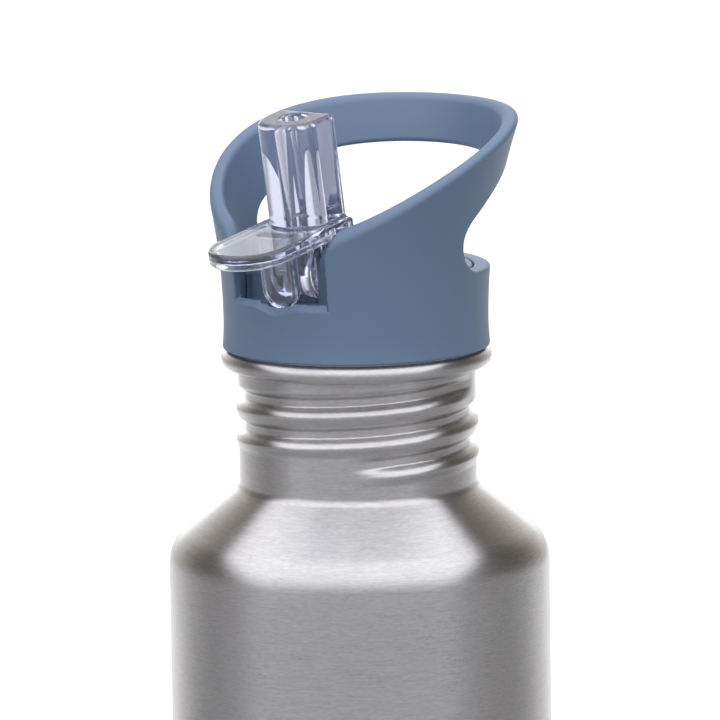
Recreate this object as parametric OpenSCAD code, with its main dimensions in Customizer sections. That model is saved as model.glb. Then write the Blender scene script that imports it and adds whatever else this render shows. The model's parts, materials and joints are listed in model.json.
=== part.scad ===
// Stainless steel drinking bottle with a screw cap, a carrying loop and a flip-up spout.
// Millimetres. Origin at the centre of the foot, +Z up, the spout faces -Y.

/* [Bottle] */
// Outer diameter of the body, made to fit a bicycle bottle cage
body_d = 73; // [72:0.1:74.5]
// Height of the plane where the cap's skirt ends, just above the rolled lip
cap_plane_z = 160; // [130:1:230]
// Thickness of the steel sheet
sheet = 0.6; // [0.4:0.05:0.8]
// Outer diameter of the neck
neck_d = 45.4; // [45:0.1:45.8]
// Outer diameter of the rolled lip
lip_d = 51.8; // [51.4:0.1:52]
// Slope of the shoulder below the horizontal
shoulder_angle = 38; // [30:1:45]
// Radius where the shoulder turns into the body
shoulder_r = 8; // [4:0.5:12]
// Radius where the body turns into the foot
foot_r = 5; // [3:0.5:7]

/* [Thread] */
// Rise of the cap in one turn
pitch = 6; // [5.5:0.1:6.5]
// How far the rolled ridge stands out from the neck
ridge_h = 0.5; // [0.3:0.05:0.8]
// How far the rolled groove goes in from the neck
groove_h = 1.3; // [0.8:0.05:1.3]
// Height of the groove's middle above the ridge's middle
groove_rise = 2.3; // [2:0.05:2.6]
// Facets round the threaded bands
thread_sides = 44; // [36:4:60]

/* [Cap] */
// Smallest outer radius of the cap, at its waist
waist_r = 25.3; // [25:0.1:25.6]
// Height of the waist above the skirt's end
waist_rise = 5; // [4:0.5:6]
// Radius of the flare above the waist, which opens into the loop
flare_r = 120; // [100:1:150]
// Wall thickness of the skirt and the loop
wall = 3.1; // [2.8:0.1:3.3]
// Height of the deck above the skirt's end
deck_rise = 15.4; // [15:0.1:16]
// Side-view radius of the loop's rim
rim_r = 95; // [90:0.5:100]
// Centre of the rim's arc, behind the bottle axis
rim_cy = 36.65; // [34:0.05:39]
// Centre of the rim's arc, below the skirt's end
rim_drop = 49.8; // [45:0.1:54]
// Height of the loop's band in side view
band = 8.8; // [7:0.1:10]
// Radius of the finger hole's nose
nose_r = 6.2; // [5.6:0.1:6.6]
// Slope of the finger hole's upper edge behind the nose, in degrees
nose_slope = 43; // [40:1:46]

/* [Spout] */
// How far the open spout leans forward
lean = 9.5; // [5:0.5:12]
// Distance of the hinge in front of the bottle axis
hinge_front = 13.4; // [13:0.1:13.8]
// Height of the hinge above the skirt's end
hinge_rise = 17; // [16.8:0.1:17.4]
// Length of the spout from the hinge to its mouth
spout_len = 29.14; // [25:0.1:32]
// Radius of the spout's round front
spout_r = 6.8; // [6:0.1:7.2]
// Distance from the bore's axis to the spout's flat back
spout_back = 4.4; // [4:0.1:4.6]
// Diameter of the drinking bore
bore_d = 5.2; // [4:0.1:6]
// Half width of the thumb tongue
tongue_half = 8.3; // [7.5:0.1:8.6]
// Reach of the tongue's tip from the bore's axis
tongue_reach = 24.9; // [22:0.1:26]
// Radius of the hinge drum
drum_r = 6; // [5.5:0.1:6]
// Radius of the trunnions
trunnion_r = 2.5; // [2:0.1:3]

/* [Straw] */
// Outer diameter of the straw
straw_d = 6.6; // [6:0.1:7]
// Wall of the straw
straw_wall = 0.6; // [0.4:0.1:0.8]
// Gap between the straw and the base
straw_gap = 5; // [4:0.5:15]

/* [Hidden] */
$fn = 96;

steel = [0.66, 0.65, 0.64];
slate_blue = [0.36, 0.45, 0.55];
clear = [0.80, 0.84, 0.92, 0.45];
silicone = [0.86, 0.87, 0.88];

// Cuts and planes run this far sideways and up, past everything
clear_xy = 60;
clear_z = cap_plane_z + 60;

body_r = body_d / 2;
neck_r = neck_d / 2;
foot_flat_r = body_r - foot_r;
base_rise = 3;

// Shoulder cone and neck fillet
neck_foot_z = cap_plane_z - 26.9;
neck_fillet_r = 2;
turn = 90 - shoulder_angle;
shoulder_top_z = neck_foot_z - (body_r - neck_r) * tan(shoulder_angle);
body_top_z = shoulder_top_z - shoulder_r * tan(turn / 2);
fillet_z = neck_foot_z + neck_fillet_r * tan(turn / 2);

// Rolled lip: a curled bead with its top just under the cap
lip_gap = 0.3;
bead_r = 1.7;
bead_cr = lip_d / 2 - bead_r;
bead_cz = cap_plane_z - lip_gap - bead_r;

// Thread. Angles run on from turn to turn; the ridge is level with ridge_mid_z at ridge_mid_a.
ridge_mid_a = 398;
ridge_mid_z = cap_plane_z - 20.6;
ridge_start_a = 303;
ridge_end_a = 1104;
fade_a = 28;
ridge_below = 1.9;
ridge_above = 1.2;
groove_below = 1.5;
groove_above = 2.3;
groove_flat = 1.5;
thread_low_z = cap_plane_z - 24.6;
thread_high_z = cap_plane_z - 4;
thread_rows = 38;
seam_inset = 0.025;

// The plug's own thread runs midway between two grooves of the neck.
plug_r = 20.4;
plug_bore_r = 18.3;
plug_end_z = cap_plane_z - 21.8;
plug_band_high_z = cap_plane_z - 5.2;
plug_band_rows = 30;
plug_crest_h = 1.4;
plug_ridge_half = 1.45;
plug_flat = 1.35;
plug_start_a = 505;
plug_end_a = 1150;
plug_drop = pitch / 2 - groove_rise;

// Cap
deck_z = cap_plane_z + deck_rise;
floor_z = cap_plane_z + 10.5;
floor_under_z = cap_plane_z + 8;
deck_under_z = cap_plane_z + 12.9;
core_r = waist_r - wall + 0.3;
flange_r = 24.5;
flange_low_z = cap_plane_z + 2;
flange_high_z = cap_plane_z + 4;
flange_gap = 0.1;
gasket_in_r = 20.6;
loop_top_rise = 48;
skirt_flare_r = 42;
rim_cz = cap_plane_z - rim_drop;
inner_rim_r = rim_r - band;
nose_cz = deck_z + nose_r;
nose_cy = 6.4;

// Front pocket and the drum well behind it
pocket_half = 10.6;
pocket_corner_r = 3.2;
pocket_corner_z = cap_plane_z + 22;
pocket_back_y = -12;
sill_z = cap_plane_z + 11.5;
sill_in_r = 24;
dip_half = 5;
dip_depth = 1.1;
trough_z = cap_plane_z + 9;
trough_back_y = -20.2;
well_back_y = -5;
well_wall = 2.5;
cheek_out_x = 12.6;
cheek_r = 5;
cheek_front_y = -17.9;
boss_r = 4.8;
boss_in_x = 5.1;
trunnion_bore_r = trunnion_r + 0.06;
trunnion_bore_end_x = 10.3;
hinge_y = -hinge_front;
hinge_z = cap_plane_z + hinge_rise;

// Spout
drum_half = 4.7;
trunnion_end_x = 9.9;
tongue_top = spout_len - 20;
tongue_plate = 1.7;
tongue_rim = 3;
tongue_rim_w = 1.2;
tongue_cy = tongue_reach - tongue_half;
post_half = 3.8;
post_front = 10.8;
post_back = 8.4;
post_low = 5.5;

// Drinking passage below the drum
passage_y = hinge_y + drum_r * sin(lean);
seat_r = 5;
seat_low_z = cap_plane_z + 8.9;
seat_top_z = cap_plane_z + 12;
seat_gap = 0.3;
nozzle_r = 4;
nozzle_end_z = cap_plane_z - 6;
adapter_r = 5.25;
adapter_top_z = cap_plane_z + 2;
adapter_end_z = cap_plane_z - 14;
step_h = 0.8;
straw_cut = 35;

// Vent
vent_y = 8;
vent_stem_r = 1.2;
vent_head_r = 3.6;
vent_head_h = 0.9;
vent_hole_r = 0.45;
vent_hole_ring = 2.3;

// Points on an arc about [cx, cy]
function arc(cx, cy, r, from, to, steps = 12) =
    [for (i = [0:steps]) let (a = from + (to - from) * i / steps) [cx + r * cos(a), cy + r * sin(a)]];

// A smooth bump, 1 at its middle and 0 from its half width on, which may differ below and above
function bump(u, below, above) = let (half = u < 0 ? below : above)
    abs(u) < half ? (1 + cos(180 * u / half)) / 2 : 0;

// How much of a thread is there at running angle a, faded in and out at its ends
function thread_fade(a, from, to) = max(0, min(1, (a - from) / fade_a, (to - a) / fade_a));

// Height of the neck's ridge at running angle a
function ridge_z(a) = ridge_mid_z + (a - ridge_mid_a) / 360 * pitch;

// Height, 0 to 1, of a helical bump: the highest of the turns that pass angle a
function helix(a, z, rise, below, above, from, to, flat = 1) =
    max([for (k = [0:3]) let (run = a + 360 * k)
        min(1, flat * bump(z - ridge_z(run) - rise, below, above)) * thread_fade(run, from, to)]);

function neck_offset(a, z) =
    ridge_h * helix(a, z, 0, ridge_below, ridge_above, ridge_start_a, ridge_end_a) - groove_h
    * helix(a, z, groove_rise, groove_below, groove_above, ridge_start_a, ridge_end_a, groove_flat);

function plug_offset(a, z) =
    plug_crest_h
    * helix(a, z, -plug_drop, plug_ridge_half, plug_ridge_half, plug_start_a, plug_end_a, plug_flat);

// Outer and inner radius of the cap's wall at height h above the skirt's end
function cap_r(h) = h < waist_rise
    ? waist_r + skirt_flare_r - sqrt(pow(skirt_flare_r, 2) - pow(waist_rise - h, 2))
    : waist_r + flare_r - sqrt(pow(flare_r, 2) - pow(h - waist_rise, 2));
function cap_bore_r(h) = max(core_r, cap_r(h) - wall);

// Draws a side-view outline, [y, z], across the whole part from x0 to x1
module across(x0, x1) {
    translate([x0, 0, 0]) rotate([90, 0, 90]) linear_extrude(x1 - x0) children();
}

// Draws a front-view outline, [x, z], from y0 to y1
module along(y0, y1) {
    translate([0, y1, 0]) rotate([90, 0, 0]) linear_extrude(y1 - y0) children();
}

// A closed ring whose outer and inner radius are functions of angle and height
module threaded_ring(z0, z1, rows, outer, inner) {
    n = thread_sides;
    ring = [for (i = [0:n - 1]) i * 360 / n];
    heights = [for (j = [0:rows]) z0 + (z1 - z0) * j / rows];
    out = [for (z = heights) for (a = ring) let (r = outer(a, z)) [r * cos(a), r * sin(a), z]];
    in = [for (z = heights) for (a = ring) let (r = inner(a, z)) [r * cos(a), r * sin(a), z]];
    base = len(out);
    top = rows * n;
    out_faces = [for (j = [0:rows - 1]) for (i = [0:n - 1])
        let (p = j * n + i, q = j * n + (i + 1) % n) each [[p, p + n, q + n], [p, q + n, q]]];
    in_faces = [for (f = out_faces) [for (k = [2, 1, 0]) base + f[k]]];
    low_faces = [for (i = [0:n - 1]) let (k = (i + 1) % n)
        each [[i, k, base + k], [i, base + k, base + i]]];
    high_faces = [for (i = [0:n - 1]) let (p = top + i, q = top + (i + 1) % n)
        each [[p, base + q, q], [p, base + p, base + q]]];
    polyhedron(concat(out, in), concat(out_faces, in_faces, low_faces, high_faces));
}

// Steel sheet: body, shoulder and neck below the thread
module shell_outline() {
    cone_out = arc(body_r - shoulder_r, body_top_z, shoulder_r, 0, turn);
    fillet_out = arc(neck_r + neck_fillet_r, fillet_z, neck_fillet_r, 180 + turn, 180, 8);
    outside = concat(arc(foot_flat_r, foot_r, foot_r, -90, 0), cone_out, fillet_out,
        [[neck_r, thread_low_z]]);
    cone_in = arc(body_r - shoulder_r, body_top_z, shoulder_r - sheet, turn, 0);
    fillet_in = arc(neck_r + neck_fillet_r, fillet_z, neck_fillet_r + sheet, 180, 180 + turn, 8);
    inside = concat([[neck_r - sheet, thread_low_z]], fillet_in, cone_in,
        arc(foot_flat_r, foot_r, foot_r - sheet, 0, -90));
    polygon(concat(outside, inside));
}

// Plain mouth above the thread, curled outwards into the lip
module lip_outline() {
    translate([neck_r - sheet, thread_high_z]) square([sheet, bead_cz - thread_high_z]);
    difference() {
        translate([bead_cr, bead_cz]) circle(bead_r);
        translate([bead_cr, bead_cz]) circle(bead_r - sheet);
        translate([neck_r, bead_cz - bead_r]) square([bead_cr - neck_r, bead_r - sheet]);
    }
}

module bottle_shell() {
    color(steel) {
        rotate_extrude() shell_outline();
        rotate_extrude() lip_outline();
        threaded_ring(thread_low_z, thread_high_z, thread_rows,
            function(a, z) neck_r - seam_inset + neck_offset(a, z),
            function(a, z) neck_r - sheet + 2 * seam_inset + neck_offset(a, z));
    }
}

// Pressed bottom: a flat ring to stand on and a raised middle, welded into the shell's foot
module base_disc() {
    ring_in_r = 26.5;
    rise_r = 23.5;
    rise = base_rise;
    color(steel) rotate_extrude() polygon([
        [0, rise], [rise_r, rise], [ring_in_r, 0], [foot_flat_r, 0],
        [foot_flat_r, sheet], [ring_in_r + 0.3, sheet], [rise_r + 0.3, rise + sheet], [0, rise + sheet]]);
}

// Flat silicone ring between the lip and the cap
module lip_gasket() {
    gap = 0.05;
    color(silicone) translate([0, 0, cap_plane_z - lip_gap + gap]) difference() {
        cylinder(r = flange_r - gap, h = flange_low_z - cap_plane_z + lip_gap - 2 * gap);
        translate([0, 0, -1]) cylinder(r = gasket_in_r, h = 5);
    }
}

// Side view of the finger hole, open towards the back
module finger_hole() {
    reach = 70;
    tangent_y = nose_cy - nose_r * sin(nose_slope);
    tangent_z = nose_cz + nose_r * cos(nose_slope);
    intersection() {
        translate([rim_cy, rim_cz]) circle(inner_rim_r, $fn = 180);
        union() {
            translate([nose_cy, nose_cz]) circle(nose_r);
            polygon([[nose_cy, nose_cz], [nose_cy, deck_z], [reach, deck_z],
                [reach, tangent_z + (reach - tangent_y) * tan(nose_slope)], [tangent_y, tangent_z]]);
        }
    }
}

// Front view of the pocket's opening: a sill with a dip for the stop post, and rounded upper corners
module pocket_opening() {
    steps = 16;
    dip = [for (i = [0:steps]) let (x = dip_half * (2 * i / steps - 1))
        [x, sill_z - dip_depth * bump(x, dip_half, dip_half)]];
    polygon(concat([[-pocket_half, clear_z], [-pocket_half, sill_z]], dip,
        [[pocket_half, sill_z], [pocket_half, clear_z]]));
    for (side = [0, 1]) mirror([side, 0]) difference() {
        translate([pocket_half, pocket_corner_z]) square([pocket_corner_r, clear_z - pocket_corner_z]);
        translate([pocket_half + pocket_corner_r, pocket_corner_z]) circle(pocket_corner_r);
    }
}

// Front view of the space behind the sill, down to a given height
module pocket_inside(low_z) {
    translate([-pocket_half, low_z]) square([2 * pocket_half, clear_z - low_z]);
}

module cap_shell() {
    steps = 24;
    heights = [for (i = [0:steps]) loop_top_rise * i / steps];
    outside = [for (h = heights) [cap_r(h), cap_plane_z + h]];
    inside = [for (i = [steps:-1:0]) [cap_bore_r(heights[i]), cap_plane_z + heights[i]]];
    color(slate_blue) difference() {
        intersection() {
            rotate_extrude() polygon(concat(outside, inside));
            across(-clear_xy, clear_xy) translate([rim_cy, rim_cz]) circle(rim_r, $fn = 180);
        }
        across(-clear_xy, clear_xy) finger_hole();
        along(-clear_xy, pocket_back_y) pocket_opening();
        intersection() {
            cylinder(r = sill_in_r, h = clear_z);
            along(-clear_xy, pocket_back_y) pocket_inside(trough_z);
        }
        translate([0, 0, cap_plane_z - 1])
            cylinder(r = flange_r + flange_gap, h = flange_high_z - cap_plane_z + 1);
    }
}

// Wall at the side of the pocket, with the upright that holds a trunnion
module cheek() {
    across(pocket_half, cheek_out_x) {
        translate([hinge_y, hinge_z]) circle(cheek_r);
        translate([cheek_front_y, floor_z])
            square([hinge_y + cheek_r - cheek_front_y, hinge_z - floor_z]);
    }
    upright(boss_r, boss_in_x, pocket_half + 0.5);
}

// Block from the floor up to the hinge, rounded over it
module upright(r, x0, x1) {
    hinge_boss(r, x0, x1);
    translate([x0, hinge_y - r, floor_z]) cube([x1 - x0, 2 * r, hinge_z - floor_z]);
}

// Round bar on the hinge's axis between two x
module hinge_boss(r, x0, x1) {
    translate([x0, hinge_y, hinge_z]) rotate([0, 90, 0]) cylinder(r = r, h = x1 - x0);
}

module cap_core() {
    color(slate_blue) {
        difference() {
            union() {
                translate([0, 0, flange_low_z]) cylinder(r = flange_r, h = flange_high_z - flange_low_z);
                translate([0, 0, flange_low_z]) cylinder(r = core_r, h = deck_z - flange_low_z);
                translate([0, 0, plug_band_high_z])
                    cylinder(r = plug_r, h = flange_low_z - plug_band_high_z + 1);
                for (side = [0, 1]) mirror([side, 0, 0]) cheek();
            }
            // Hollow underside, higher behind the well
            translate([0, 0, plug_band_high_z - 1])
                cylinder(r = plug_bore_r, h = floor_under_z - plug_band_high_z + 1);
            intersection() {
                cylinder(r = plug_bore_r, h = deck_under_z);
                translate([-clear_xy, well_back_y + well_wall, 0]) cube([2 * clear_xy, clear_xy, clear_z]);
            }
            // Well of the drum, open to the front, and the trough before it
            difference() {
                along(-clear_xy, well_back_y) pocket_inside(floor_z);
                for (side = [0, 1]) mirror([side, 0, 0]) upright(boss_r, boss_in_x, pocket_half + 1);
            }
            along(-clear_xy, trough_back_y) pocket_inside(trough_z);
            for (side = [0, 1]) mirror([side, 0, 0])
                hinge_boss(trunnion_bore_r, boss_in_x - 0.001, trunnion_bore_end_x);
            // Seat and drinking passage
            translate([0, passage_y, seat_low_z]) cylinder(r = seat_r, h = clear_z);
            translate([0, passage_y, nozzle_end_z]) cylinder(d = bore_d, h = clear_z);
            // Vent
            translate([0, vent_y, deck_under_z - 1]) {
                cylinder(r = vent_stem_r, h = clear_z);
                for (a = [0:120:240]) rotate([0, 0, a]) translate([0, vent_hole_ring, 0])
                    cylinder(r = vent_hole_r, h = clear_z);
            }
        }
        difference() {
            translate([0, passage_y, nozzle_end_z])
                cylinder(r = nozzle_r, h = floor_under_z - nozzle_end_z + 0.5);
            translate([0, passage_y, nozzle_end_z - 1]) cylinder(d = bore_d, h = clear_z);
        }
        threaded_ring(plug_end_z, plug_band_high_z, plug_band_rows,
            function(a, z) plug_r - seam_inset + plug_offset(a, z),
            function(a, z) plug_bore_r + 3 * seam_inset);
    }
}

// Soft round seat, hollowed to follow the drum
module seat_seal() {
    color(silicone) difference() {
        translate([0, passage_y, seat_low_z]) cylinder(r = seat_r, h = seat_top_z - seat_low_z);
        hinge_boss(drum_r + seat_gap, -clear_xy, clear_xy);
        translate([0, passage_y, seat_low_z - 1]) cylinder(d = bore_d, h = clear_z);
    }
}

// Umbrella valve: a thin cap under the deck on a stem through it
module vent_valve() {
    color(silicone) translate([0, vent_y, 0]) {
        translate([0, 0, deck_under_z - vent_head_h]) cylinder(r = vent_head_r, h = vent_head_h);
        translate([0, 0, deck_under_z - 0.1]) cylinder(r = vent_stem_r, h = deck_z - deck_under_z);
    }
}

// Soft sleeve on the nozzle that holds the straw
module straw_adapter() {
    color(silicone) translate([0, passage_y, 0]) difference() {
        translate([0, 0, adapter_end_z]) cylinder(r = adapter_r, h = adapter_top_z - adapter_end_z);
        translate([0, 0, nozzle_end_z]) cylinder(r = nozzle_r, h = clear_z);
        translate([0, 0, adapter_end_z - 1]) cylinder(d = bore_d, h = clear_z);
        translate([0, 0, adapter_end_z - 1])
            cylinder(d = straw_d, h = nozzle_end_z - step_h - adapter_end_z + 1);
    }
}

module straw() {
    top_z = nozzle_end_z - step_h;
    low_z = base_rise + sheet + straw_gap;
    color(clear) translate([0, passage_y, low_z]) difference() {
        cylinder(d = straw_d, h = top_z - low_z);
        translate([0, 0, -1]) cylinder(d = straw_d - 2 * straw_wall, h = top_z - low_z + 2);
        translate([0, -straw_d / 2, 0]) rotate([straw_cut, 0, 0])
            translate([-straw_d, -2 * straw_d, -straw_d]) cube([2 * straw_d, 5 * straw_d, straw_d]);
    }
}

// Outline of the tongue seen along the spout, shrunk by an inset
module tongue_outline(inset) {
    half = tongue_half - inset;
    translate([0, -tongue_cy]) circle(half);
    translate([-half, -tongue_cy]) square([2 * half, tongue_cy + spout_back - inset]);
}

// Outline of the tube: round in front, flat behind
module tube_outline() {
    intersection() {
        union() {
            circle(spout_r);
            translate([-spout_r, 0]) square([2 * spout_r, spout_back]);
        }
        translate([-spout_r, -spout_r]) square([2 * spout_r, spout_r + spout_back]);
    }
}

module spout() {
    color(clear) translate([0, hinge_y, hinge_z]) rotate([lean, 0, 0]) difference() {
        union() {
            // The tube is cut narrow below the tongue, to pass between the uprights
            translate([0, 0, tongue_top - tongue_rim])
                linear_extrude(spout_len - tongue_top + tongue_rim) tube_outline();
            linear_extrude(tongue_top) intersection() {
                tube_outline();
                square([2 * drum_half, 2 * spout_len], center = true);
            }
            translate([0, 0, tongue_top - tongue_rim]) difference() {
                linear_extrude(tongue_rim) tongue_outline(0);
                translate([0, 0, -1])
                    linear_extrude(tongue_rim - tongue_plate + 1) tongue_outline(tongue_rim_w);
            }
            along(-post_front, -post_back) {
                translate([0, post_half - post_low]) circle(post_half);
                translate([-post_half, post_half - post_low])
                    square([2 * post_half, tongue_top - 1 - post_half + post_low]);
            }
            rotate([0, 90, 0]) cylinder(r = drum_r, h = 2 * drum_half, center = true);
            rotate([0, 90, 0]) cylinder(r = trunnion_r, h = 2 * trunnion_end_x, center = true);
        }
        translate([0, 0, -clear_xy]) cylinder(d = bore_d, h = 2 * clear_xy);
    }
}

bottle_shell();
base_disc();
lip_gasket();
cap_shell();
cap_core();
seat_seal();
vent_valve();
straw_adapter();
straw();
spout();
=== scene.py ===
"""Steel drinking bottle with a screw cap, a carrying loop and a clear flip-up spout, around its CAD frame."""
import json
import math

import bpy
import numpy as np
from mathutils import Matrix, Vector


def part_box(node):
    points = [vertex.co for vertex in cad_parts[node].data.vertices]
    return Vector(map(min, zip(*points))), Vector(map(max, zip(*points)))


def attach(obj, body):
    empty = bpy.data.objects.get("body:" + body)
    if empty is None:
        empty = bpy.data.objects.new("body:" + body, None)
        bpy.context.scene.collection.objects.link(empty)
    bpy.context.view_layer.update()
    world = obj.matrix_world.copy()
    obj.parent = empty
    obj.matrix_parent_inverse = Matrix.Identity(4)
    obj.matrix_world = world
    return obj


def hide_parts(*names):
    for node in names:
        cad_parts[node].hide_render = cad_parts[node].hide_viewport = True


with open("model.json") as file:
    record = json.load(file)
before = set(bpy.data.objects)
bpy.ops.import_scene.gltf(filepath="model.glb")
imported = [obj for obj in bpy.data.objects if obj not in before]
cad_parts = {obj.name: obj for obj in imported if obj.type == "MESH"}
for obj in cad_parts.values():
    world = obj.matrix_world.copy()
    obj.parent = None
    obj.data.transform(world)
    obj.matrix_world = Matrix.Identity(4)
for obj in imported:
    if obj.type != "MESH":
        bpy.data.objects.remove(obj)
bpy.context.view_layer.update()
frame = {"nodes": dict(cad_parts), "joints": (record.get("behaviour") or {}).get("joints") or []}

# Shape code works in millimetres; objects are made in metres.
MM = 0.001
SHELL_BOX = [np.array(corner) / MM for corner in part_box("bottle_shell")]
CAP_BOX = [np.array(corner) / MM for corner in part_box("cap_shell")]
CORE_BOX = [np.array(corner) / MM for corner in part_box("cap_core")]
SPOUT_BOX = [np.array(corner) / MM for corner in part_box("spout")]
JOINTS = {joint["name"]: joint for joint in frame["joints"]}

# Size of the grid cells that the rounded pieces are meshed with, and sides of the turned ones
CAP_CELL = 0.42
SPOUT_CELL = 0.3
SHELL_SIDES = 240
DISC_SIDES = 160

# Bottle
BODY_R = SHELL_BOX[1][0]
CAP_PLANE = round(CAP_BOX[0][2], 3)
SHEET = 0.6
NECK_R = 22.7
LIP_R = 25.9
BEAD_R = 1.7
LIP_TOP = SHELL_BOX[1][2]
FOOT_R = 5.0
SHOULDER_R = 8.0
SHOULDER_ANGLE = math.radians(38)
NECK_FOOT_Z = CAP_PLANE - 26.9
NECK_FILLET_R = 2.0
CURL_R = 1.0
DISC_RISE = 3.0
DISC_RING_R = 26.5
DISC_STEP_R = 23.5
DISC_BEND_R = 1.0

# Thread, with angles that run on from turn to turn
PITCH = 6.0
RIDGE_H = 0.5
RIDGE_BELOW = 1.9
RIDGE_ABOVE = 1.2
GROOVE_H = 1.3
GROOVE_RISE = 2.3
GROOVE_BELOW = 1.5
GROOVE_ABOVE = 2.3
GROOVE_FLAT = 1.5
RIDGE_MID_A = 398.0
RIDGE_MID_Z = CAP_PLANE - 20.6
RIDGE_START_A = 303.0
RIDGE_END_A = 1104.0
FADE_A = 28.0
THREAD_LOW_Z = CAP_PLANE - 24.6
THREAD_HIGH_Z = CAP_PLANE - 4.0

# Cap
WAIST_R = 25.3
WAIST_Z = CAP_PLANE + 5
FLARE_R = 120.0
FLARE_RISE = 60
SKIRT_R = 42.0
WALL = 3.1
DECK_Z = CAP_PLANE + 15.4
RIM_R = 95.0
RIM_Y = 36.65
RIM_Z = CAP_PLANE - 49.8
BAND = 8.8
NOSE_R = 6.2
NOSE_Y = 6.4
NOSE_SLOPE = math.radians(43)
NOSE_BLEND_R = 6.0
OUTER_EDGE_R = 0.45
OUTER_EDGE_MORE = 0.75
INNER_EDGE_R = 0.3
INNER_EDGE_MORE = 0.8
POCKET_EDGE_R = 0.3
SILL_EDGE_R = 0.25
CORE_R = 22.5
FLANGE_R = 24.5
FLANGE_TOP = CAP_PLANE + 4
FLANGE_LOW = CAP_PLANE + 2
FLANGE_GAP = 0.1
FLOOR_Z = CAP_PLANE + 10.5
FLOOR_UNDER = CAP_PLANE + 8
DECK_UNDER = CAP_PLANE + 12.9
PLUG_R = 20.4
PLUG_CREST_H = 1.4
PLUG_RIDGE_HALF = 1.45
PLUG_FLAT = 1.35
PLUG_START_A = 505.0
PLUG_END_A = 1150.0
PLUG_BAND_HIGH = CAP_PLANE - 5.2
PLUG_BORE_R = 18.3
PLUG_END = CAP_PLANE - 21.8
POCKET_HALF = 10.6
POCKET_CORNER_R = 3.2
POCKET_FLARE = 0.4
POCKET_BACK = -12.0
SILL_Z = CAP_PLANE + 11.5
SILL_IN_R = 24.0
SILL_SLOPE = 1.2
DIP_HALF = 5.0
DIP_DEPTH = 1.1
TROUGH_Z = CAP_PLANE + 9
TROUGH_BACK = -20.2
WELL_BACK = -5.0
WELL_WALL = 2.5
CHEEK_X = 12.6
CHEEK_R = 5.0
CHEEK_FRONT = -17.9
BOSS_R = 4.8
BOSS_X = 5.1
SEAM = 0.12
SMALL_EDGE_R = 0.3
DRUM_EDGE_R = 0.35
PLUG_EDGE_R = 0.4
CHEEK_EDGE_R = 0.4
CUT_EDGE_R = 0.25

# Spout, in the frame of its hinge: x across, y to the back, z along the bore
HINGE = np.array(JOINTS["spout_flip"]["pos_m"]) / MM
LEAN = math.radians(9.5)
SPOUT_LEN = 29.14
SPOUT_R = 6.8
SPOUT_BACK = 4.4
BORE_R = 2.6
TONGUE_HALF = 8.3
TONGUE_TOP = SPOUT_LEN - 20
TONGUE_PLATE = 1.7
TONGUE_RIM = 3.0
TONGUE_RIM_W = 1.2
TONGUE_Y = 24.9 - TONGUE_HALF
POST_HALF = 3.8
POST_FRONT = 10.8
POST_BACK = 8.4
POST_LOW = 5.5
SPOUT_CORNER_R = 1.3
SPOUT_TOP_R = 1.1
TONGUE_CORNER_R = 1.0
TONGUE_EDGE_R = 0.75
SPOUT_EDGE_R = 0.3
SPOUT_JOIN_R = 0.4
SPOUT_ROUND_R = 0.5
DRUM_R = 6.0
DRUM_HALF = 4.7
TRUNNION_R = 2.5
TRUNNION_END = 9.9
TRUNNION_GAP = 0.06
TRUNNION_BORE_END = 10.3
PASSAGE_Y = HINGE[1] + DRUM_R * math.sin(LEAN)
NOZZLE_R = 4.0
NOZZLE_END = CAP_PLANE - 6
SEAT_R = 5.0
SEAT_LOW = CAP_PLANE + 8.9
VENT_Y = 8.0
VENT_RING = 2.3
VENT_STEM_R = 1.2
VENT_HOLE_R = 0.45


# ---------------------------------------------------------------- camera

CAMERA_AZIMUTH = math.radians(38)
CAMERA_ELEVATION = math.radians(9.34)
CAMERA_ROLL = math.radians(-0.85)
CAMERA_DISTANCE = 1.2
CAMERA_LENS = 314.0
CAMERA_AIM_Z = (CAP_PLANE - 2.99) * MM
CAMERA_AIM_SIDE = 0.64 * MM


def make_camera():
    a, e = CAMERA_AZIMUTH, CAMERA_ELEVATION
    back = Vector((math.sin(a) * math.cos(e), -math.cos(a) * math.cos(e), math.sin(e)))
    right = Vector((math.cos(a), math.sin(a), 0))
    up = back.cross(right)
    c, s = math.cos(CAMERA_ROLL), math.sin(CAMERA_ROLL)
    rolled_right, rolled_up = right * c + up * s, up * c - right * s
    data = bpy.data.cameras.new("camera")
    data.lens = CAMERA_LENS
    data.sensor_width = 36
    data.clip_start = 0.05
    data.clip_end = 50
    camera = bpy.data.objects.new("camera", data)
    bpy.context.scene.collection.objects.link(camera)
    place = Vector((0, 0, CAMERA_AIM_Z)) + right * CAMERA_AIM_SIDE + back * CAMERA_DISTANCE
    turn = Matrix((rolled_right, rolled_up, back)).transposed().to_4x4()
    camera.matrix_world = Matrix.Translation(place) @ turn
    bpy.context.scene.camera = camera


# ---------------------------------------------------------------- shader helpers

def new_material(name):
    material = bpy.data.materials.new(name)
    material.use_nodes = True
    tree = material.node_tree
    shader = next(n for n in tree.nodes if n.type == "BSDF_PRINCIPLED")
    return material, tree, shader


def add(tree, kind, settings=None, **inputs):
    """A new node; settings are its properties, and inputs are values or sockets to link."""
    node = tree.nodes.new(kind)
    for key, value in (settings or {}).items():
        setattr(node, key, value)
    for key, value in inputs.items():
        socket = node.inputs[int(key[1:])] if key[0] == "i" and key[1:].isdigit() else node.inputs[key]
        if isinstance(value, bpy.types.NodeSocket):
            tree.links.new(value, socket)
        else:
            socket.default_value = value
    return node


def place_coordinates(tree, scale):
    """Object coordinates stretched by a scale for each axis."""
    where = add(tree, "ShaderNodeTexCoord")
    mapping = add(tree, "ShaderNodeMapping", Vector=where.outputs["Object"], Scale=scale)
    return mapping.outputs["Vector"]


def noise(tree, scale, detail):
    """Noise with this many features to the metre along each axis."""
    return add(tree, "ShaderNodeTexNoise", Vector=place_coordinates(tree, scale), Scale=1.0,
               Detail=detail).outputs["Fac"]


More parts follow.
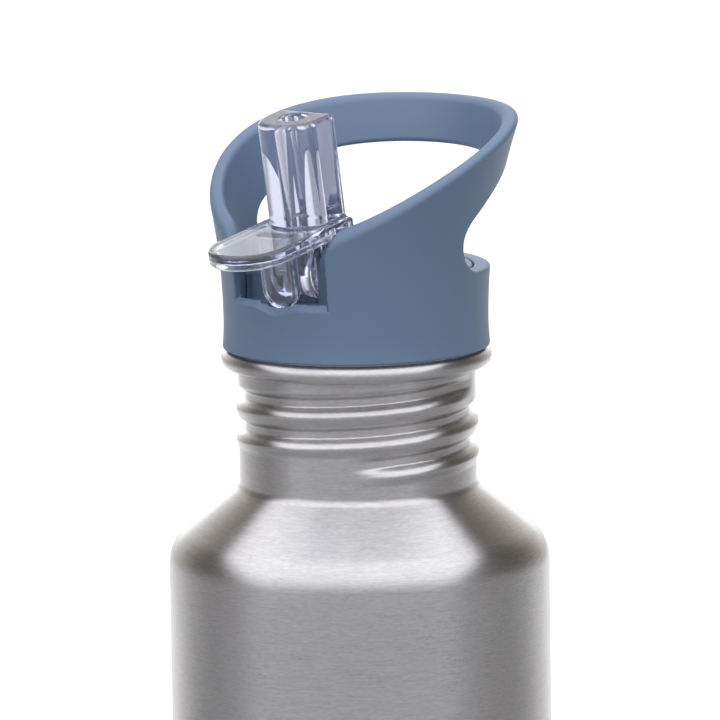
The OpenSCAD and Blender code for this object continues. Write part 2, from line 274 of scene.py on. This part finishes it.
def remap(tree, value, low, high, to_low, to_high):
    node = add(tree, "ShaderNodeMapRange", i0=value)
    for index, number in enumerate((low, high, to_low, to_high), start=1):
        node.inputs[index].default_value = number
    return node.outputs[0]


def mix_colours(tree, factor, first, second):
    return add(tree, "ShaderNodeMix", {"data_type": "RGBA"}, i0=factor, i6=first, i7=second).outputs[2]


def vary_colour(tree, shader, pattern, dark, light, low=0.3, high=0.7):
    """Base colour that follows a pattern from dark at its low to light at its high."""
    colour = mix_colours(tree, remap(tree, pattern, low, high, 0, 1), (*dark, 1), (*light, 1))
    tree.links.new(colour, shader.inputs["Base Color"])


def vary_roughness(tree, shader, pattern, smooth, rough):
    tree.links.new(remap(tree, pattern, 0.3, 0.7, smooth, rough), shader.inputs["Roughness"])


def bump(tree, shader, height, distance, strength):
    node = add(tree, "ShaderNodeBump", Height=height, Distance=distance, Strength=strength)
    tree.links.new(node.outputs["Normal"], shader.inputs["Normal"])


def times(tree, a, b):
    return add(tree, "ShaderNodeMath", {"operation": "MULTIPLY"}, i0=a, i1=b).outputs[0]


def plus(tree, a, b):
    return add(tree, "ShaderNodeMath", {"operation": "ADD"}, i0=a, i1=b).outputs[0]


# ---------------------------------------------------------------- materials

STEEL_DARK, STEEL_LIGHT = (0.445, 0.435, 0.43), (0.555, 0.545, 0.54)
PLASTIC_DARK, PLASTIC_LIGHT = (0.106, 0.163, 0.250), (0.115, 0.175, 0.264)
CLEAR_DARK, CLEAR_LIGHT = (0.93, 0.94, 0.975), (0.96, 0.965, 0.99)
CLEAR_DEPTH_COLOUR = (0.60, 0.66, 0.90, 1)
CLEAR_DEPTH_DENSITY = 62.0
MILKY_DARK, MILKY_LIGHT = (0.66, 0.68, 0.69), (0.76, 0.78, 0.79)
BLUE_DARK, BLUE_LIGHT = (0.085, 0.13, 0.20), (0.10, 0.15, 0.23)


def steel_material():
    """Stainless sheet brushed round the bottle: short fine scratches along the turn, and faint clouds."""
    material, tree, shader = new_material("brushed_steel")
    fine = noise(tree, (850, 850, 4800), 2.0)
    broad = noise(tree, (220, 220, 2800), 2.0)
    cloud = noise(tree, (22, 22, 40), 4.0)
    lines = plus(tree, times(tree, fine, 0.6), times(tree, broad, 0.4))
    vary_colour(tree, shader, lines, STEEL_DARK, STEEL_LIGHT, 0.35, 0.65)
    grain = plus(tree, times(tree, lines, 0.4), times(tree, cloud, 0.6))
    vary_roughness(tree, shader, grain, 0.26, 0.33)
    shader.inputs["Metallic"].default_value = 1.0
    shader.inputs["Anisotropic"].default_value = 0.9
    shader.inputs["Anisotropic Rotation"].default_value = 0.25
    tangent = add(tree, "ShaderNodeTangent", {"direction_type": "RADIAL", "axis": "Z"})
    tree.links.new(tangent.outputs["Tangent"], shader.inputs["Tangent"])
    bump(tree, shader, lines, 0.000004, 0.3)
    return material


def plastic_material():
    """Moulded satin plastic: a fine spark-eroded grain and faint flow clouds."""
    material, tree, shader = new_material("satin_blue_plastic")
    grain = noise(tree, (6000, 6000, 6000), 2.0)
    cloud = noise(tree, (35, 35, 20), 3.0)
    vary_colour(tree, shader, cloud, PLASTIC_DARK, PLASTIC_LIGHT)
    both = plus(tree, times(tree, grain, 0.5), times(tree, cloud, 0.5))
    vary_roughness(tree, shader, both, 0.40, 0.52)
    shader.inputs["IOR"].default_value = 1.49
    bump(tree, shader, grain, 0.00002, 0.4)
    return material


def clear_material():
    """Clear copolyester: a little haze, and a violet cast that deepens in thick sections."""
    material, tree, shader = new_material("clear_plastic")
    wave = noise(tree, (120, 120, 60), 2.0)
    vary_colour(tree, shader, wave, CLEAR_DARK, CLEAR_LIGHT)
    vary_roughness(tree, shader, wave, 0.015, 0.04)
    shader.inputs["Transmission Weight"].default_value = 0.96
    shader.inputs["IOR"].default_value = 1.54
    bump(tree, shader, wave, 0.00003, 0.3)
    depth = add(tree, "ShaderNodeVolumeAbsorption", Color=CLEAR_DEPTH_COLOUR, Density=CLEAR_DEPTH_DENSITY)
    output = next(n for n in tree.nodes if n.type == "OUTPUT_MATERIAL")
    tree.links.new(depth.outputs[0], output.inputs["Volume"])
    return material


def silicone_material(name, dark, light):
    """Silicone rubber with a soft, slightly dusty surface."""
    material, tree, shader = new_material(name)
    dust = noise(tree, (900, 900, 900), 4.0)
    vary_colour(tree, shader, dust, dark, light)
    vary_roughness(tree, shader, dust, 0.45, 0.6)
    shader.inputs["Subsurface Weight"].default_value = 0.3
    shader.inputs["Subsurface Radius"].default_value = (0.002, 0.002, 0.002)
    bump(tree, shader, dust, 0.00003, 0.3)
    return material


# ---------------------------------------------------------------- mesh helpers

def make_object(name, vertices, faces, material, normals=None):
    """A smooth mesh from points in millimetres."""
    mesh = bpy.data.meshes.new(name)
    mesh.from_pydata((np.asarray(vertices) * MM).tolist(), [], [tuple(face) for face in faces])
    mesh.validate()
    mesh.materials.append(material)
    mesh.shade_smooth()
    if normals is not None:
        mesh.normals_split_custom_set_from_vertices(normals.tolist())
    thing = bpy.data.objects.new(name, mesh)
    bpy.context.scene.collection.objects.link(thing)
    return thing


def arc(cy, cz, r, start, end, steps):
    """Points on an arc, with its angles in degrees."""
    angles = np.radians(np.linspace(start, end, steps + 1))
    return [(cy + r * math.cos(a), cz + r * math.sin(a)) for a in angles]


def stretch(low, high, count):
    """Points along a straight wall between two (r, z) ends, without the ends."""
    start, whole = np.array(low), np.array(high) - np.array(low)
    return [tuple(start + whole * i / count) for i in range(1, count)]


def lathe(name, profile, material, sides, offset=None):
    """Turns a closed (r, z) outline round Z. offset(angles, z) is added to its radius."""
    angles = np.linspace(0, 2 * math.pi, sides, endpoint=False)
    vertices, rings = [], []
    for r, z in profile:
        first = len(vertices)
        if r < 1e-6:
            vertices.append((0, 0, z))
            rings.append([first] * sides)
            continue
        radius = r + (offset(np.degrees(angles), z) if offset else 0) * np.ones(sides)
        vertices.extend(zip(radius * np.cos(angles), radius * np.sin(angles), np.full(sides, z)))
        rings.append(list(range(first, first + sides)))
    faces = []
    for low, high in zip(rings, rings[1:] + rings[:1]):
        for i in range(sides):
            k = (i + 1) % sides
            corners = [low[i], low[k], high[k], high[i]]
            face = [c for n, c in enumerate(corners) if c != corners[n - 1]]
            if len(face) > 2:
                faces.append(face)
    return make_object(name, vertices, faces, material)


# ---------------------------------------------------------------- rounded solids as distance fields

def round_max(a, b, r):
    """The overlap of two fields, with its outer edge rounded to r."""
    return np.minimum(np.maximum(a, b), -r) + np.hypot(np.maximum(a + r, 0), np.maximum(b + r, 0))


def round_min(a, b, r):
    """Two fields joined, with the inner corner filled to radius r."""
    return -round_max(-a, -b, r)


def smooth_step(value, low, high):
    t = np.clip((value - low) / (high - low), 0, 1)
    return t * t * (3 - 2 * t)


CELL_EDGES = [(c, c + d) for c in range(8) for d in (1, 2, 4) if not c & d]


def corner_slice(values, corner):
    """The array of one of the eight corners of every cell; bits 1, 2 and 4 are x, y and z."""
    return values[tuple(slice(1, None) if corner >> axis & 1 else slice(None, -1) for axis in range(3))]


def surface_of(field, low, high, step, settle=3):
    """Meshes field = 0 inside a box, with one vertex set on the surface for each cell that it crosses."""
    axes = [np.arange(a - 1.5 * step, b + 2 * step, step) for a, b in zip(low, high)]
    grid = np.meshgrid(*axes, indexing="ij")
    values = field(*grid)
    corners = [corner_slice(values, c) for c in range(8)]
    inside = [c < 0 for c in corners]
    count = sum(i.astype(np.int8) for i in inside)
    mixed = (count > 0) & (count < 8)
    at = [c[mixed] for c in corners]
    total = np.zeros((3, len(at[0])))
    crossings = np.zeros(len(at[0]))
    for a, b in CELL_EDGES:
        cut = (at[a] < 0) != (at[b] < 0)
        share = np.where(cut, at[a] / np.where(cut, at[a] - at[b], 1), 0)
        for axis in range(3):
            start = a >> axis & 1
            total[axis] += np.where(cut, start + share * ((b >> axis & 1) - start), 0)
        crossings += cut
    cells = np.argwhere(mixed)
    placed = [axes[axis][cells[:, axis]] + step * total[axis] / crossings for axis in range(3)]
    points = np.array(placed).T
    index = np.full(mixed.shape, -1)
    index[mixed] = np.arange(len(points))
    faces = cell_faces(values < 0, index)
    for _ in range(settle):
        points = set_on(field, relaxed(points, faces), 2)
    points = set_on(field, points, 3)
    return points, faces, slope_of(field, points)


def cell_faces(inside, index):
    """A four-sided face round every grid edge that the surface crosses."""
    faces = []
    for axis in range(3):
        u, v = (axis + 1) % 3, (axis + 2) % 3
        first = np.moveaxis(inside, axis, 0)
        crossed = np.moveaxis(first[1:] != first[:-1], 0, axis)
        starts_in = np.moveaxis(first[:-1], 0, axis)
        edges = np.argwhere(crossed)
        edges = edges[(edges[:, u] > 0) & (edges[:, v] > 0)]
        edges = edges[(edges[:, u] < index.shape[u]) & (edges[:, v] < index.shape[v])]
        around = []
        for du, dv in ((1, 1), (0, 1), (0, 0), (1, 0)):
            cell = edges.copy()
            cell[:, u] -= du
            cell[:, v] -= dv
            around.append(index[tuple(cell.T)])
        quads = np.array(around).T
        out = starts_in[tuple(edges.T)]
        quads[~out] = quads[~out][:, ::-1]
        faces.append(quads)
    return np.concatenate(faces)


def relaxed(points, faces):
    """Every vertex moved halfway to the middle of its neighbours."""
    total = np.zeros_like(points)
    links = np.zeros(len(points))
    for a, b in ((0, 1), (1, 2), (2, 3), (3, 0)):
        for near, far in ((a, b), (b, a)):
            for axis in range(3):
                pull = points[faces[:, far], axis]
                total[:, axis] += np.bincount(faces[:, near], pull, len(points))
            links += np.bincount(faces[:, near], minlength=len(points))
    return points + 0.5 * (total / links[:, None] - points)


def slope_of(field, points, reach=0.03):
    """Unit outward normals of the field at the points."""
    slope = np.zeros_like(points)
    for axis in range(3):
        ahead, behind = points.copy(), points.copy()
        ahead[:, axis] += reach
        behind[:, axis] -= reach
        slope[:, axis] = field(*ahead.T) - field(*behind.T)
    return slope / np.maximum(np.linalg.norm(slope, axis=1, keepdims=True), 1e-9)


def set_on(field, points, rounds, longest=0.3):
    """Points walked down the field's slope onto its surface."""
    for _ in range(rounds):
        step = np.clip(field(*points.T), -longest, longest)
        points = points - slope_of(field, points) * step[:, None]
    return points


def rounded_piece(name, field, box, cell, material):
    points, faces, normals = surface_of(field, *box, cell)
    return make_object(name, points, faces, material, normals)


# ---------------------------------------------------------------- bottle

def bump_shape(u, below, above):
    """A smooth bump, 1 at its middle and 0 from its half width on, which may differ below and above."""
    half = np.where(u < 0, below, above)
    return (1 + np.cos(np.pi * np.clip(u / half, -1, 1))) / 2


def helix(angles, z, rise, below, above, start, end, flat=1.0):
    """Height, 0 to 1, of a helical bump that runs from one angle to another and fades in and out."""
    angles = np.asarray(angles, float) % 360
    best = np.zeros(np.broadcast(angles, z).shape)
    for turn in range(4):
        run = angles + 360 * turn
        middle = RIDGE_MID_Z + (run - RIDGE_MID_A) / 360 * PITCH + rise
        fade = smooth_step(np.minimum(run - start, end - run), 0, FADE_A)
        best = np.maximum(best, np.minimum(1, flat * bump_shape(z - middle, below, above)) * fade)
    return best


def neck_offset(angles, z):
    if not THREAD_LOW_Z < z < THREAD_HIGH_Z:
        return np.zeros(len(angles))
    ridge = helix(angles, z, 0, RIDGE_BELOW, RIDGE_ABOVE, RIDGE_START_A, RIDGE_END_A)
    groove = helix(angles, z, GROOVE_RISE, GROOVE_BELOW, GROOVE_ABOVE,
                   RIDGE_START_A, RIDGE_END_A, GROOVE_FLAT)
    return RIDGE_H * ridge - GROOVE_H * groove


def bottle_profile():
    """Outline of the steel sheet from the foot up the outside, round the curled lip and down the inside."""
    turn = 90 - math.degrees(SHOULDER_ANGLE)
    foot_flat = BODY_R - FOOT_R
    corner_z = NECK_FOOT_Z - (BODY_R - NECK_R) * math.tan(SHOULDER_ANGLE)
    body_top = corner_z - SHOULDER_R * math.tan(math.radians(turn / 2))
    fillet_z = NECK_FOOT_Z + NECK_FILLET_R * math.tan(math.radians(turn / 2))
    shoulder_c, fillet_c = BODY_R - SHOULDER_R, NECK_R + NECK_FILLET_R
    bead_c, bead_z = LIP_R - BEAD_R, LIP_TOP - BEAD_R
    inner_r = NECK_R - SHEET
    outside = arc(foot_flat, FOOT_R, FOOT_R, -90, 0, 10)
    outside += stretch((BODY_R, FOOT_R), (BODY_R, body_top), 24)
    outside += arc(shoulder_c, body_top, SHOULDER_R, 0, turn, 14)
    cone_top = (fillet_c + NECK_FILLET_R * math.cos(math.radians(180 + turn)),
                fillet_z + NECK_FILLET_R * math.sin(math.radians(180 + turn)))
    outside += stretch(outside[-1], cone_top, 8)
    outside += arc(fillet_c, fillet_z, NECK_FILLET_R, 180 + turn, 180, 8)
    outside += [(NECK_R, z) for z in np.arange(fillet_z + 0.4, bead_z - BEAD_R - 0.1, 0.2)]
    join_z = bead_z - math.sqrt(BEAD_R ** 2 - (bead_c - NECK_R) ** 2)
    start = math.degrees(math.atan2(join_z - bead_z, NECK_R - bead_c)) + 360
    bead = arc(bead_c, bead_z, BEAD_R, start, 360, 14) + arc(bead_c, bead_z, BEAD_R, 0, 90, 10)[1:]
    over = arc(bead_c, bead_z, CURL_R, 90, 180, 10)[1:]
    lip = [(bead_c + (r - bead_c) * (bead_c - inner_r), bead_z + (z - bead_z) * BEAD_R) for r, z in over]
    inside = [(inner_r, z) for z in np.arange(bead_z - 0.4, fillet_z + 0.2, -0.4)]
    inside += arc(fillet_c, fillet_z, NECK_FILLET_R + SHEET, 180, 180 + turn, 8)
    cone = arc(shoulder_c, body_top, SHOULDER_R - SHEET, turn, 0, 12)
    inside += stretch(inside[-1], cone[0], 8) + cone
    inside += stretch((BODY_R - SHEET, body_top), (BODY_R - SHEET, FOOT_R), 24)
    inside += arc(foot_flat, FOOT_R, FOOT_R - SHEET, 0, -90, 10)
    return outside + bead + lip + inside


def disc_profile():
    """Outline of the base: along the underside from the middle to the foot ring, and back on top."""
    flat, bend, top = BODY_R - FOOT_R, DISC_BEND_R, DISC_RISE + SHEET
    under_ring, under_step = DISC_RING_R + 0.6, DISC_STEP_R - 1.0
    over_ring, over_step = DISC_RING_R + 0.9, DISC_STEP_R - 0.7
    under = [(0, DISC_RISE), *stretch((0, DISC_RISE), (under_step, DISC_RISE), 6)]
    under += arc(under_step, DISC_RISE - bend, bend, 90, 50, 5)
    under += arc(under_ring, bend, bend, 230, 270, 5)
    under += [*stretch((under_ring, 0), (flat, 0), 4), (flat, 0)]
    over = [(flat, SHEET), *stretch((flat, SHEET), (over_ring, SHEET), 4)]
    over += arc(over_ring, bend + SHEET, bend, 270, 230, 5)
    over += arc(over_step, DISC_RISE - bend + SHEET, bend, 50, 90, 5)
    over += [*stretch((over_step, top), (0, top), 6), (0, top)]
    return under + over


def make_bottle(steel):
    shell = lathe("steel_bottle", bottle_profile(), steel, SHELL_SIDES, neck_offset)
    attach(shell, "bottle")
    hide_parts("bottle_shell")
    disc = lathe("steel_base", disc_profile(), steel, DISC_SIDES)
    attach(disc, "bottle")
    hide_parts("base_disc")


# ---------------------------------------------------------------- cap

def cap_radius(z):
    below = WAIST_R + SKIRT_R - np.sqrt(SKIRT_R ** 2 - np.minimum(z - WAIST_Z, 0) ** 2)
    above = WAIST_R + FLARE_R - np.sqrt(FLARE_R ** 2 - np.clip(z - WAIST_Z, 0, FLARE_RISE) ** 2)
    return np.where(z < WAIST_Z, below, above)


def cap_slant(z):
    """Cosine of the wall's slant, which turns a radial gap into a true distance."""
    rise = np.where(z < WAIST_Z, (z - WAIST_Z) / SKIRT_R, np.clip(z - WAIST_Z, 0, FLARE_RISE) / FLARE_R)
    return np.sqrt(np.clip(1 - rise ** 2, 0.3, 1))


def finger_hole(y, z):
    """Field of the finger hole, under the band: a round nose on the deck and a straight slope up from it."""
    band = np.hypot(y - RIM_Y, z - RIM_Z) - (RIM_R - BAND)
    ahead, above = y - NOSE_Y, z - DECK_Z - NOSE_R
    rise_y, rise_z = math.cos(NOSE_SLOPE), math.sin(NOSE_SLOPE)
    slope = above * rise_y - ahead * rise_z - NOSE_R
    in_nose = (ahead < 0) & (ahead * rise_y + above * rise_z < 0)
    edge = np.where(in_nose, np.hypot(ahead, above) - NOSE_R, np.maximum(slope, DECK_Z - z))
    return round_max(edge, band, NOSE_BLEND_R)


def pocket(x, y, z, cap_r):
    """Field of the front pocket: an opening that widens through the wall, and the space behind the sill."""
    open_out = smooth_step(np.hypot(x, y), SILL_IN_R, cap_r)
    sill = SILL_Z - SILL_SLOPE * open_out - DIP_DEPTH * bump_shape(x, DIP_HALF, DIP_HALF)
    opening = np.maximum(np.abs(x) - POCKET_HALF - POCKET_FLARE * open_out, sill - z)
    behind = np.maximum(np.abs(x) - POCKET_HALF, TROUGH_Z - z)
    behind = np.maximum(behind, np.hypot(x, y) - SILL_IN_R)
    return np.maximum(np.minimum(opening, behind), y - POCKET_BACK)


def cap_field(x, y, z):
    rho = np.hypot(x, y)
    slant = cap_slant(z)
    outer = (rho - cap_radius(z)) * slant
    bore = (rho - np.maximum(CORE_R + SEAM, cap_radius(z) - WALL)) * slant
    hollow = np.minimum(bore, np.maximum(rho - FLANGE_R - FLANGE_GAP, z - FLANGE_TOP))
    rim = np.hypot(y - RIM_Y, z - RIM_Z) - RIM_R
    edge = np.maximum(np.maximum(rim, -finger_hole(y, z)), CAP_PLANE - z)
    front = pocket(x, y, z, cap_radius(z))
    edge = round_max(edge, -front, np.where(z > SILL_Z + 5, POCKET_CORNER_R, SILL_EDGE_R))
    outside_r = OUTER_EDGE_R + OUTER_EDGE_MORE * smooth_step(z, CAP_PLANE + 14, CAP_PLANE + 19)
    inside_r = INNER_EDGE_R + INNER_EDGE_MORE * smooth_step(z, DECK_Z + 0.5, DECK_Z + 5)
    pocket_near = smooth_step(-np.abs(front), -2.5, -0.8) * (z < SILL_Z + 11)
    outside_r = outside_r * (1 - pocket_near) + POCKET_EDGE_R * pocket_near
    return np.maximum(round_max(outer, edge, outside_r), round_max(-hollow, edge, inside_r))


def plug_offset(angles, z):
    """The plug's thread runs midway between two grooves of the neck."""
    return PLUG_CREST_H * helix(angles, z, GROOVE_RISE - PITCH / 2, PLUG_RIDGE_HALF, PLUG_RIDGE_HALF,
                                PLUG_START_A, PLUG_END_A, PLUG_FLAT)


def upright_field(side, y, z):
    """The block that holds a trunnion, rounded over the hinge."""
    ahead, above = y - HINGE[1], z - HINGE[2]
    outline = np.where(above > 0, np.hypot(ahead, above), np.abs(ahead)) - BOSS_R
    return round_max(outline, BOSS_X - side, SMALL_EDGE_R)


def core_solid(x, y, z):
    """Flange, drum and threaded plug of the cap's insert, with the two cheeks that hold the spout."""
    rho = np.hypot(x, y)
    flange_mid, flange_half = (FLANGE_TOP + FLANGE_LOW) / 2, (FLANGE_TOP - FLANGE_LOW) / 2
    flange = round_max(rho - FLANGE_R, np.abs(z - flange_mid) - flange_half, SMALL_EDGE_R)
    drum = round_max(rho - CORE_R + SEAM, np.maximum(z - DECK_Z, flange_mid - z), DRUM_EDGE_R)
    thread = np.where(z < PLUG_BAND_HIGH, plug_offset(np.degrees(np.arctan2(y, x)), z), 0)
    plug = round_max(rho - PLUG_R - thread, np.maximum(z - FLANGE_LOW - 0.5, PLUG_END - z), PLUG_EDGE_R)
    side = np.abs(x)
    stem = np.maximum(np.maximum(CHEEK_FRONT - y, y - HINGE[1] - CHEEK_R), z - HINGE[2])
    upright = np.minimum(np.hypot(y - HINGE[1], z - HINGE[2]) - CHEEK_R, stem)
    cheek = round_max(upright, np.maximum(POCKET_HALF - side, side - CHEEK_X), CHEEK_EDGE_R)
    block = np.maximum(upright_field(side, y, z), side - POCKET_HALF - 0.5)
    cheek = round_min(cheek, block, CHEEK_EDGE_R)
    cheek = np.maximum(cheek, FLOOR_Z - 1 - z)
    rings = np.minimum(round_min(flange, drum, SMALL_EDGE_R), plug)
    return round_min(rings, cheek, CHEEK_EDGE_R)


def core_hollows(x, y, z):
    """The cuts in the insert: its underside, the drum's well, the trough, the passage and the vent."""
    rho = np.hypot(x, y)
    side = np.abs(x)
    low = z - FLOOR_UNDER
    high = np.maximum(z - DECK_UNDER, WELL_BACK + WELL_WALL - y)
    under = np.maximum(rho - PLUG_BORE_R, np.minimum(low, high))
    nozzle_rho = np.hypot(x, y - PASSAGE_Y)
    nozzle = np.maximum(nozzle_rho - NOZZLE_R, NOZZLE_END - z)
    under = round_max(under, -nozzle, SMALL_EDGE_R)
    near_hinge = np.hypot(y - HINGE[1], z - HINGE[2])
    well = np.maximum(np.maximum(side - POCKET_HALF, y - WELL_BACK), FLOOR_Z - z)
    well = np.maximum(well, -upright_field(side, y, z))
    trough = np.maximum(np.maximum(side - POCKET_HALF, TROUGH_Z - z), y - TROUGH_BACK)
    trunnion = np.maximum(near_hinge - TRUNNION_R - TRUNNION_GAP, side - TRUNNION_BORE_END)
    seat = np.maximum(nozzle_rho - SEAT_R, SEAT_LOW - z)
    passage = np.minimum(nozzle_rho - BORE_R, np.minimum(trunnion, seat))
    holes = np.hypot(x, y - VENT_Y) - VENT_STEM_R
    for turn in (0, 120, 240):
        hole_x = VENT_RING * math.sin(math.radians(turn))
        hole_y = VENT_Y + VENT_RING * math.cos(math.radians(turn))
        holes = np.minimum(holes, np.hypot(x - hole_x, y - hole_y) - VENT_HOLE_R)
    vent = np.maximum(holes, DECK_UNDER - 1 - z)
    return np.minimum(np.minimum(under, vent), np.minimum(np.minimum(well, trough), passage))


def core_field(x, y, z):
    return round_max(core_solid(x, y, z), -core_hollows(x, y, z), CUT_EDGE_R)


def make_cap(plastic):
    shell = rounded_piece("blue_cap", cap_field, CAP_BOX, CAP_CELL, plastic)
    core = rounded_piece("blue_insert", core_field, CORE_BOX, CAP_CELL, plastic)
    for piece, node in ((shell, "cap_shell"), (core, "cap_core")):
        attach(piece, "cap")
        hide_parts(node)


# ---------------------------------------------------------------- spout

def spout_field(x, y, z):
    """The clear spout, worked out in the leaning frame of its hinge."""
    dy, dz = y - HINGE[1], z - HINGE[2]
    back = dy * math.cos(LEAN) + dz * math.sin(LEAN)
    up = dz * math.cos(LEAN) - dy * math.sin(LEAN)
    side = np.abs(x)
    round_side = np.where(back < 0, np.hypot(x, back), side) - SPOUT_R
    section = round_max(round_side, back - SPOUT_BACK, SPOUT_CORNER_R)
    tube = round_max(section, up - SPOUT_LEN, SPOUT_TOP_R)
    narrow = np.maximum(side - DRUM_HALF, -up)
    tube = np.maximum(tube, np.minimum(TONGUE_TOP - TONGUE_RIM - up, narrow))
    outline = np.where(back < -TONGUE_Y, np.hypot(x, back + TONGUE_Y), side) - TONGUE_HALF
    outline = round_max(outline, back - SPOUT_BACK, TONGUE_CORNER_R)
    middle = TONGUE_TOP - TONGUE_RIM / 2
    tongue = round_max(outline, np.abs(up - middle) - TONGUE_RIM / 2, TONGUE_EDGE_R)
    under = round_max(outline + TONGUE_RIM_W, up - TONGUE_TOP + TONGUE_PLATE, SPOUT_EDGE_R)
    tongue = round_max(tongue, -under, SPOUT_EDGE_R)
    drum_rho = np.hypot(back, up)
    drum = round_max(drum_rho - DRUM_R, side - DRUM_HALF, SPOUT_JOIN_R)
    pins = round_max(drum_rho - TRUNNION_R, side - TRUNNION_END, SPOUT_EDGE_R)
    toe = np.hypot(x, up - POST_HALF + POST_LOW) - POST_HALF
    front = np.where(up < POST_HALF - POST_LOW, toe, side - POST_HALF)
    depth = np.maximum(-POST_FRONT - back, back + POST_BACK)
    post = np.maximum(round_max(front, depth, SPOUT_ROUND_R), up - TONGUE_TOP + 1)
    solid = round_min(tube, tongue, SPOUT_ROUND_R)
    solid = round_min(solid, post, SPOUT_JOIN_R)
    solid = round_min(solid, drum, SPOUT_JOIN_R)
    solid = np.minimum(solid, pins)
    return round_max(solid, BORE_R - np.hypot(x, back), SPOUT_JOIN_R)


def make_spout(clear):
    spout = rounded_piece("clear_spout", spout_field, SPOUT_BOX, SPOUT_CELL, clear)
    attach(spout, "spout")
    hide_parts("spout")


def dress(node, material):
    thing = frame["nodes"][node]
    thing.data.materials.clear()
    thing.data.materials.append(material)


# ---------------------------------------------------------------- stage

# Brightness and tint of the room from straight in front of the bottle (0) to straight behind it (1)
COOL, WARM, WHITE = (0.99, 0.98, 1.0), (1.0, 0.92, 0.84), (1.0, 1.0, 1.0)
ROOM_LEVELS = [
    (0.0, 0.42, COOL),
    (0.25, 0.36, COOL),
    (0.45, 0.2, WARM),
    (0.60, 0.14, WARM),
    (0.72, 0.15, WARM),
    (0.80, 0.26, WARM),
    (0.87, 0.5, WARM),
    (0.92, 0.82, WARM),
    (0.955, 0.97, WHITE),
    (0.98, 1.5, WHITE),
    (1.0, 2.1, WHITE),
]
# The brightest part of the room stands behind the bottle and this far to the left
SWEEP_TURN = math.radians(2)
# A large ceiling light. Its edges are planes through the bottle, given by how far right, back and up they
# face, and by how soft they are.
CEILING_COLOUR = (1.82, 1.83, 1.93)
CEILING_EDGES = [
    ((0.85, 1.0, -1.11), 0.05),
    ((-0.6, 1.0, -1.22), 0.05),
    ((0.0, -1.0, -4.0), 0.12),
]
# The floor glows white behind the bottle. Each pair says where the glow starts and where it is full: metres
# behind the bottle, and metres to either side of it.
FLOOR_HALF = 12.0
FLOOR_COLOUR = 0.31
FLOOR_GLOW = 0.7
SWEEP_BEHIND = (0.05, 0.38)
SWEEP_ACROSS = (0.80, 0.30)


def view_direction():
    return Vector((-math.sin(CAMERA_AZIMUTH), math.cos(CAMERA_AZIMUTH), 0))


def view_right():
    return Vector((math.cos(CAMERA_AZIMUTH), math.sin(CAMERA_AZIMUTH), 0))


def sweep_direction():
    """Where the white sweep stands: behind the bottle and a little to the left."""
    return view_direction() * math.cos(SWEEP_TURN) - view_right() * math.sin(SWEEP_TURN)


def along(tree, vector, direction):
    """The part of a vector along a direction."""
    return add(tree, "ShaderNodeVectorMath", {"operation": "DOT_PRODUCT"}, i0=vector,
               i1=direction.normalized()).outputs["Value"]


def fade(tree, value, start, full):
    """Rises softly from 0 at one value to 1 at another."""
    rising = remap(tree, value, start, full, 0, 1)
    rising.node.interpolation_type = "SMOOTHSTEP"
    return rising


def ramp(tree, value, stops):
    """A colour ramp over -1 to 1; each stop is its place from 0 to 1 and its colour."""
    node = add(tree, "ShaderNodeValToRGB", i0=remap(tree, value, -1, 1, 0, 1))
    points = node.color_ramp.elements
    for _ in range(len(stops) - 2):
        points.new(0.5)
    for point, (place, colour) in zip(points, stops):
        point.position = place
        point.color = (*colour, 1)
    return node.outputs["Color"]


def make_floor():
    """A pale studio floor that brightens into a white sweep behind the bottle."""
    mesh = bpy.data.meshes.new("floor")
    corners = [(x * FLOOR_HALF, y * FLOOR_HALF, 0) for x, y in ((-1, -1), (1, -1), (1, 1), (-1, 1))]
    mesh.from_pydata(corners, [], [(0, 1, 2, 3)])
    floor = bpy.data.objects.new("floor", mesh)
    bpy.context.scene.collection.objects.link(floor)
    material, tree, shader = new_material("studio_floor")
    where = add(tree, "ShaderNodeTexCoord").outputs["Object"]
    behind = fade(tree, along(tree, where, view_direction()), *SWEEP_BEHIND)
    rightward = along(tree, where, view_right())
    across = add(tree, "ShaderNodeMath", {"operation": "ABSOLUTE"}, i0=rightward).outputs[0]
    glow = times(tree, times(tree, behind, fade(tree, across, *SWEEP_ACROSS)), FLOOR_GLOW)
    shader.inputs["Base Color"].default_value = (FLOOR_COLOUR,) * 3 + (1,)
    shader.inputs["Roughness"].default_value = 0.9
    shader.inputs["Emission Color"].default_value = (1, 1, 1, 1)
    tree.links.new(glow, shader.inputs["Emission Strength"])
    mesh.materials.append(material)


def make_world():
    """A plain studio: a large ceiling light, white behind the bottle, grey in front and dim at the sides."""
    world = bpy.data.worlds.new("studio")
    bpy.context.scene.world = world
    world.use_nodes = True
    tree = world.node_tree
    tree.nodes.clear()
    where = add(tree, "ShaderNodeTexCoord").outputs["Generated"]
    stops = [(place, [level * part for part in tint]) for place, level, tint in ROOM_LEVELS]
    room = ramp(tree, along(tree, where, sweep_direction()), stops)
    ceiling = None
    for (right, back, up), soft in CEILING_EDGES:
        outward = view_right() * right + view_direction() * back + Vector((0, 0, up))
        inside = remap(tree, along(tree, where, outward), -soft, soft, 1, 0)
        ceiling = inside if ceiling is None else times(tree, ceiling, inside)
    light = mix_colours(tree, ceiling, room, (*CEILING_COLOUR, 1))
    background = add(tree, "ShaderNodeBackground", Color=light, Strength=1.0)
    add(tree, "ShaderNodeOutputWorld", Surface=background.outputs[0])


def make_scene():
    scene = bpy.context.scene
    scene.view_settings.view_transform = "Standard"
    make_camera()
    make_world()
    make_floor()
    steel, plastic, clear = steel_material(), plastic_material(), clear_material()
    milky = silicone_material("milky_silicone", MILKY_DARK, MILKY_LIGHT)
    blue = silicone_material("blue_silicone", BLUE_DARK, BLUE_LIGHT)
    make_bottle(steel)
    make_cap(plastic)
    make_spout(clear)
    for node in ("lip_gasket", "vent_valve", "straw_adapter"):
        dress(node, milky)
    dress("seat_seal", blue)
    dress("straw", clear)


make_scene()
